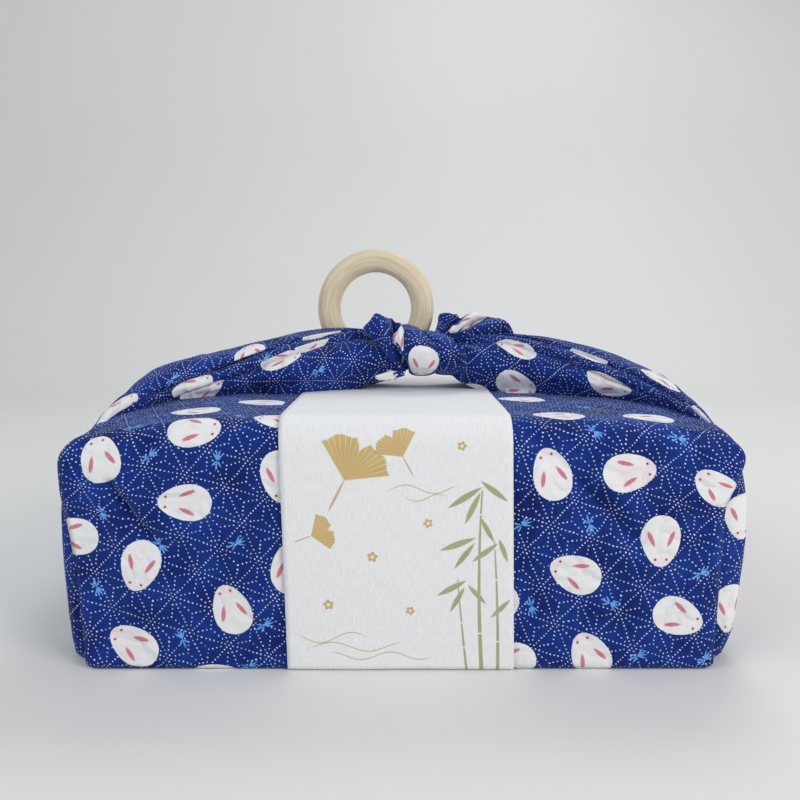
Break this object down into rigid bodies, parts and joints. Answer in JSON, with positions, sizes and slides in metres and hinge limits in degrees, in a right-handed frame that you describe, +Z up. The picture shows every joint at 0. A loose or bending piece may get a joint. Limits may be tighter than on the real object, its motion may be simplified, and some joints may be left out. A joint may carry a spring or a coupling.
{
  "type": "furoshiki wrap",
  "caption": "Cotton furoshiki wrapped and knotted round a flat box-shaped parcel, with a paper belly band and an upright wooden ring in the knot.",
  "frame": {"origin": "middle of the bounding box's base, on the surface that the parcel rests on", "axes": "+X to the right along the parcel, +Y away from the front, +Z up"},
  "size_m": [0.3218, 0.243, 0.203],
  "materials": {
    "printed_cotton": "matt printed cotton, blue with white dots and motifs",
    "white_paper": "matt white textured paper with a fine vertical fibre",
    "pale_wood": "unvarnished turned wood"
  },
  "bodies": {
    "root": {"wrap_cloth": "printed_cotton", "paper_band": "white_paper", "wooden_ring": "pale_wood"}
  },
  "joints": []
}
